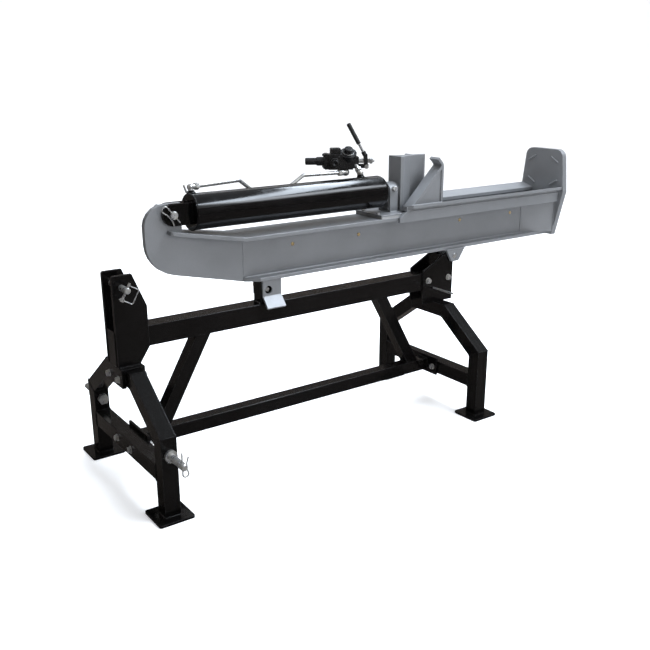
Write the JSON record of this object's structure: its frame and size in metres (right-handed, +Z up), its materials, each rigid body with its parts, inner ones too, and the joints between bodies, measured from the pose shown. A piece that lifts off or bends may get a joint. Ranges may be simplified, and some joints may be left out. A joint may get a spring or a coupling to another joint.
{
  "type": "log splitter",
  "caption": "Tractor-mounted hydraulic log splitter: tubular hitch stand with a tilting beam that carries a cylinder, sliding wedge, strippers, foot plate and control valve",
  "frame": {"origin": "on the floor, at the middle of the bounding box with the beam locked down", "axes": "+X runs along the beam from the hitch mast to the foot plate, +Y to the side away from the lever's near face, +Z up"},
  "size_m": [1.977, 0.776, 1.0926],
  "materials": {
    "black_enamel": "gloss",
    "cylinder_black": "gloss",
    "silver_paint": "satin metallic",
    "zinc_plate": "bright zinc plate",
    "valve_black": "painted, semi-gloss",
    "rod_chrome": "polished",
    "bare_steel": "machined",
    "grip_rubber": "satin",
    "wear_plastic": "matte"
  },
  "bodies": {
    "stand": {"apex_tubes": "black_enamel", "braces": "black_enamel", "cross_tubes": "black_enamel", "foot_pads": "black_enamel", "legs": "black_enamel", "lower_rail": "black_enamel", "mast_box": "black_enamel", "mast_cheeks": "black_enamel", "mast_saddle": "black_enamel", "pivot_plates": "black_enamel", "rail_end_plates": "black_enamel", "raked_tubes": "black_enamel", "rest_post": "black_enamel", "top_rail": "black_enamel", "frame_bolts": "zinc_plate", "hitch_pin_nuts": "zinc_plate", "lower_hitch_pins": "zinc_plate", "pivot_bolt": "zinc_plate", "side_peg": "zinc_plate"},
    "beam": {"beam_web": "silver_paint", "bottom_flange": "silver_paint", "end_gussets": "silver_paint", "foot_plate": "silver_paint", "grip_beads": "silver_paint", "guide_bars": "silver_paint", "keeper_plates": "silver_paint", "latch_plate": "silver_paint", "pivot_lugs": "silver_paint", "strippers": "silver_paint", "tongue_plate": "silver_paint", "top_flange": "silver_paint", "cylinder_barrel": "cylinder_black", "base_cap": "cylinder_black", "rod_gland": "cylinder_black", "base_pin": "zinc_plate", "pipe_fittings": "zinc_plate", "pressure_pipe": "zinc_plate", "valve_casting": "valve_black", "detent_housing": "valve_black", "relief_cap": "valve_black"},
    "ram": {"piston": "bare_steel", "piston_rod": "rod_chrome", "slide_plate": "silver_paint", "wear_pad": "wear_plastic", "pad_screws": "zinc_plate", "rod_arch": "silver_paint", "rod_set_screw": "zinc_plate", "wedge": "silver_paint"},
    "valve_lever": {"lever": "zinc_plate", "lever_fork": "valve_black", "lever_grip": "grip_rubber"},
    "valve_spool": {"spool": "zinc_plate"},
    "lock_pin": {"lock_pin": "zinc_plate"},
    "top_link_pin": {"top_link_pin": "zinc_plate", "snap_pin": "zinc_plate"},
    "snap_bail": {"snap_bail": "zinc_plate"},
    "hitch_clip_near": {"hitch_clip_near": "zinc_plate"},
    "hitch_clip_far": {"hitch_clip_far": "zinc_plate"},
    "base_clip_near": {"base_clip_near": "zinc_plate"},
    "base_clip_far": {"base_clip_far": "zinc_plate"}
  },
  "joints": [
    {"name": "beam_tilt", "type": "hinge", "parent": "stand", "child": "beam", "pos_m": [0.4165, 0, 0.578], "axis": [0, 1, 0], "range_deg": [0, 90]},
    {"name": "ram_stroke", "type": "slide", "parent": "beam", "child": "ram", "axis": [1, 0, 0], "range_m": [0, 0.61]},
    {"name": "lever_swing", "type": "hinge", "parent": "beam", "child": "valve_lever", "pos_m": [0.03803, 0.036, 0.94], "axis": [0.5, 0.866, 0], "range_deg": [-14, 14]},
    {"name": "spool_slide", "type": "slide", "parent": "beam", "child": "valve_spool", "axis": [0.866, -0.5, 0], "range_m": [-0.0052, 0.0052]},
    {"name": "lock_pin_pull", "type": "slide", "parent": "stand", "child": "lock_pin", "axis": [0, 1, 0], "range_m": [0, 0.06]},
    {"name": "top_pin_slide", "type": "slide", "parent": "stand", "child": "top_link_pin", "axis": [0, 1, 0], "range_m": [0, 0.03]},
    {"name": "snap_bail_swing", "type": "hinge", "parent": "top_link_pin", "child": "snap_bail", "pos_m": [-0.95694, -0.084, 0.63112], "axis": [0.8671, 0, -0.4981], "range_deg": [0, 100]},
    {"name": "hitch_clip_near_pull", "type": "slide", "parent": "stand", "child": "hitch_clip_near", "axis": [0, 0, -1], "range_m": [0, 0.08]},
    {"name": "hitch_clip_far_pull", "type": "slide", "parent": "stand", "child": "hitch_clip_far", "axis": [0, 0, -1], "range_m": [0, 0.08]},
    {"name": "base_clip_near_pull", "type": "slide", "parent": "beam", "child": "base_clip_near", "axis": [-0.632, 0, 0.775], "range_m": [0, 0.05]},
    {"name": "base_clip_far_pull", "type": "slide", "parent": "beam", "child": "base_clip_far", "axis": [-0.632, 0, 0.775], "range_m": [0, 0.05]}
  ],
  "couplings": [
    {"joint": "spool_slide", "follows": "lever_swing", "m_per_rad": 0.02}
  ]
}
